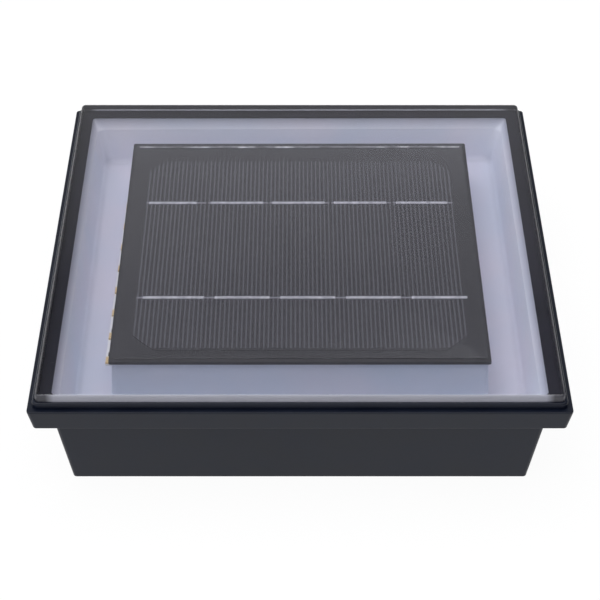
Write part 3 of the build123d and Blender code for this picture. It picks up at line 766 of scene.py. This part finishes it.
class InnerPartsOperator(bpy.types.Operator):
    """Finishes the battery, switch, electronics and leads inside the tub"""

    bl_idname = "solar_light.inner_parts"
    bl_label = "Inner parts"

    def execute(self, context):
        # Zinc-plated steel: a cool grey metal with a soft shine.
        zinc = plated_metal(
            "zinc_steel_plated", (srgb("#A9ABB0"), srgb("#C2C4C9")), (0.28, 0.44), grain_mm=0.6
        )
        dress(["battery_door_screws", "board_screws"], zinc)
        # Nickel-plated spring steel: warmer and shinier than the screws.
        nickel = plated_metal(
            "nickel_steel_plated", (srgb("#B4B0A6"), srgb("#CCC8BE")), (0.2, 0.36), grain_mm=0.5
        )
        dress(["battery_contact_positive", "battery_contact_negative"], nickel)
        # Drawn aluminium: light grey and silky.
        can = plated_metal(
            "aluminium_can_drawn", (srgb("#B8BABE"), srgb("#D0D2D6")), (0.22, 0.38), grain_mm=0.4
        )
        dress(["capacitors"], can)
        # Shrunk PVC sleeve: a smooth mid blue with a clear highlight along its length.
        sleeve = moulded_plastic(
            "pvc_sleeve_shrunk", (srgb("#3B6F97"), srgb("#447BA4")),
            grain_mm=2.0, relief=0.1, roughness=(0.25, 0.35),
        )
        dress(["battery_cell"], sleeve)
        # Moulded black nylon: neutral near-black, satin.
        nylon = moulded_plastic(
            "nylon_black_moulded", (srgb("#141416"), srgb("#1B1B1E")),
            grain_mm=0.4, relief=0.2, roughness=(0.45, 0.55),
        )
        dress(["battery_cradle", "switch_body", "controller_chip"], nylon)
        # Cured green solder mask: deep green and fairly glossy.
        green = moulded_plastic(
            "solder_mask_green_cured", (srgb("#1E5A34"), srgb("#236840")),
            grain_mm=1.4, relief=0.15, roughness=(0.3, 0.4),
        )
        dress(["control_board"], green)
        # Sintered ferrite: charcoal, gritty and dull.
        ferrite = moulded_plastic(
            "ferrite_sintered", (srgb("#2C2B2D"), srgb("#363538")),
            grain_mm=0.3, relief=0.5, roughness=(0.6, 0.7),
        )
        dress(["power_inductor"], ferrite)
        # Moulded ivory nylon: a warm off-white, satin.
        ivory = moulded_plastic(
            "nylon_ivory_moulded", (srgb("#D8D2C2"), srgb("#E2DDCF")),
            grain_mm=0.6, relief=0.1, roughness=(0.4, 0.5),
        )
        dress(["wire_sockets", "wire_plugs"], ivory)
        # Moulded black silicone: soft-looking and duller than the tub round it.
        silicone = moulded_plastic(
            "silicone_black_moulded", (srgb("#17171A"), srgb("#1F1F23")),
            grain_mm=0.5, relief=0.2, roughness=(0.55, 0.65),
        )
        dress(["power_button"], silicone)
        # Extruded PVC: brick red with a smooth satin skin.
        leads = moulded_plastic(
            "pvc_red_extruded", (srgb("#8E2A28"), srgb("#A03330")),
            grain_mm=1.5, relief=0.1, roughness=(0.4, 0.5),
        )
        dress(
            ["panel_leads", "led_leads_left", "led_leads_right", "battery_leads", "switch_leads"],
            leads,
        )
        return {"FINISHED"}


class StageOperator(bpy.types.Operator):
    """Sets out the pale floor, the soft studio light and the camera"""

    bl_idname = "solar_light.stage"
    bl_label = "Stage"

    def execute(self, context):
        settings = context.scene.solar_light_stage
        self.make_floor(settings)
        self.make_sky(context)
        self.make_camera(context, settings)
        context.scene.view_settings.view_transform = "Standard"
        return {"FINISHED"}

    def make_floor(self, settings):
        """A round floor that looks white, keeps a soft shadow and is open to a view from below."""
        select_none()
        bpy.ops.mesh.primitive_circle_add(
            vertices=FLOOR_SIDES, radius=settings.floor, fill_type="NGON",
            location=(0, 0, -FLOOR_DROP),
        )
        bpy.ops.object.transform_apply(location=True, rotation=True, scale=True)
        floor = bpy.context.object
        floor.name = "studio_floor"
        material, tree = new_material("paper_white_matt")
        path = add(tree, "ShaderNodeLightPath")
        seen = add(tree, "ShaderNodeMath", {
            0: path.outputs["Is Camera Ray"], 1: path.outputs["Is Glossy Ray"],
        }, operation="MAXIMUM")
        shown = add(tree, "ShaderNodeMath", {
            0: seen.outputs[0], 1: path.outputs["Is Transmission Ray"],
        }, operation="MAXIMUM")
        share = add(tree, "ShaderNodeMath", {
            0: shown.outputs[0], 1: FLOOR_WHITE,
        }, operation="MULTIPLY")
        matt = add(tree, "ShaderNodeBsdfDiffuse", {"Color": srgb("#EFEFF0")})
        white = add(tree, "ShaderNodeEmission", {"Color": srgb("#FFFFFF"), "Strength": FLOOR_GLOW})
        above = add(tree, "ShaderNodeMixShader", {
            0: share.outputs[0], 1: matt.outputs["BSDF"], 2: white.outputs["Emission"],
        })
        below = add(tree, "ShaderNodeBsdfTransparent")
        side = add(tree, "ShaderNodeNewGeometry")
        paper = add(tree, "ShaderNodeMixShader", {
            0: side.outputs["Backfacing"], 1: above.outputs[0], 2: below.outputs["BSDF"],
        })
        add(tree, "ShaderNodeOutputMaterial", {"Surface": paper.outputs[0]})
        floor.data.materials.append(material)

    def make_sky(self, context):
        """Soft light: a dim horizon, a dark band above it, and a broad bright ring near the top."""
        world = bpy.data.worlds.new("studio_sky")
        world.use_nodes = True
        tree = world.node_tree
        tree.nodes.clear()
        direction = add(tree, "ShaderNodeTexCoord").outputs["Generated"]
        height = add(tree, "ShaderNodeSeparateXYZ", {"Vector": direction})
        level = add(tree, "ShaderNodeFloatCurve", {"Value": height.outputs["Z"]})
        curve = level.mapping.curves[0]
        curve.points[0].location = SKY_LEVELS[0]
        curve.points[1].location = SKY_LEVELS[-1]
        for x, y in SKY_LEVELS[1:-1]:
            curve.points.new(x, y)
        level.mapping.update()
        aside = add(tree, "ShaderNodeVectorMath", {
            0: direction, 1: SKY_LEAN,
        }, operation="DOT_PRODUCT")
        lean = add(tree, "ShaderNodeMath", {0: aside.outputs["Value"], 1: 1.0}, operation="ADD")
        leaning = add(tree, "ShaderNodeMath", {
            0: level.outputs[0], 1: lean.outputs[0],
        }, operation="MULTIPLY")
        strength = add(tree, "ShaderNodeMath", {
            0: leaning.outputs[0], 1: SKY_STRENGTH,
        }, operation="MULTIPLY")
        light = add(tree, "ShaderNodeBackground", {
            "Color": srgb("#FDFDFF"), "Strength": strength.outputs[0],
        })
        add(tree, "ShaderNodeOutputWorld", {"Surface": light.outputs[0]})
        context.scene.world = world

    def make_camera(self, context, settings):
        """The camera at the photograph's angle and distance."""
        data = bpy.data.cameras.new("studio_camera")
        data.lens = settings.lens
        data.sensor_width = 36.0
        data.clip_start = 0.01
        data.clip_end = 20.0
        camera = bpy.data.objects.new("studio_camera", data)
        context.scene.collection.objects.link(camera)
        aim = Euler((math.pi / 2 - settings.pitch, 0.0, -settings.yaw)).to_matrix().to_4x4()
        lean = Matrix.Rotation(settings.roll, 4, "Z")
        camera.matrix_world = Matrix.Translation(settings.eye) @ aim @ lean
        context.scene.camera = camera


STEPS = (
    HousingOperator,
    LensOperator,
    ReflectorOperator,
    PanelOperator,
    LampsOperator,
    InnerPartsOperator,
    StageOperator,
)

GROUPS = {
    "solar_light_housing": HousingSettings,
    "solar_light_lens": LensSettings,
    "solar_light_panel": PanelSettings,
    "solar_light_lamps": LampsSettings,
    "solar_light_stage": StageSettings,
}


class SolarLightPanel(bpy.types.Panel):
    """Lists the settings and the steps that finish the light"""

    bl_idname = "VIEW3D_PT_solar_light"
    bl_label = "Recessed Solar Light"
    bl_space_type = "VIEW_3D"
    bl_region_type = "UI"
    bl_category = "Solar Light"

    def draw(self, context):
        layout = self.layout
        for group in GROUPS:
            settings = getattr(context.scene, group)
            column = layout.column()
            for name in settings.__annotations__:
                column.prop(settings, name)
        for step in STEPS:
            layout.operator(step.bl_idname)


def register():
    """Adds the classes and the settings to Blender."""
    for group in (*GROUPS.values(), *STEPS, SolarLightPanel):
        bpy.utils.register_class(group)
    for name, group in GROUPS.items():
        setattr(bpy.types.Scene, name, PointerProperty(type=group))


def unregister():
    """Takes the classes and the settings away again."""
    for name in GROUPS:
        delattr(bpy.types.Scene, name)
    for group in reversed((*GROUPS.values(), *STEPS, SolarLightPanel)):
        bpy.utils.unregister_class(group)


def main():
    """Runs every step in order."""
    register()
    for step in STEPS:
        family, name = step.bl_idname.split(".")
        getattr(getattr(bpy.ops, family), name)()


if __name__ == "__main__":
    main()
